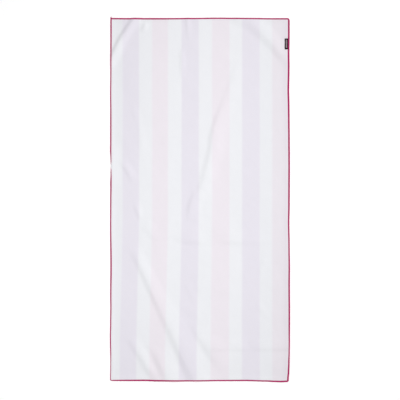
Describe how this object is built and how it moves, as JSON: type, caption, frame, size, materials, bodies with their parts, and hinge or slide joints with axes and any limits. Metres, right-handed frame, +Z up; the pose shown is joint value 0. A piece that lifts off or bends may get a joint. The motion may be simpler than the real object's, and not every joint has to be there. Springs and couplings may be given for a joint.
{
  "type": "beach towel",
  "caption": "Thin rectangular striped beach towel with an overlocked contrast edge and a small side label, spread out flat with soft packing folds.",
  "frame": {"origin": "on the surface that the towel lies on, under the middle of its outline", "axes": "+Z up from the surface, +Y along the towel towards its top end, +X towards the side with the label"},
  "size_m": [0.8015, 1.6241, 0.0079],
  "materials": {
    "striped_cloth": "soft brushed microfibre towelling with very pale mint, lilac and pink stripes on white",
    "edging_thread": "crimson overlock thread, slightly glossy",
    "label_weave": "black woven ribbon with a plain grey bar"
  },
  "bodies": {
    "root": {"towel_cloth": "striped_cloth", "edging": "edging_thread", "side_label": "label_weave"}
  },
  "joints": []
}
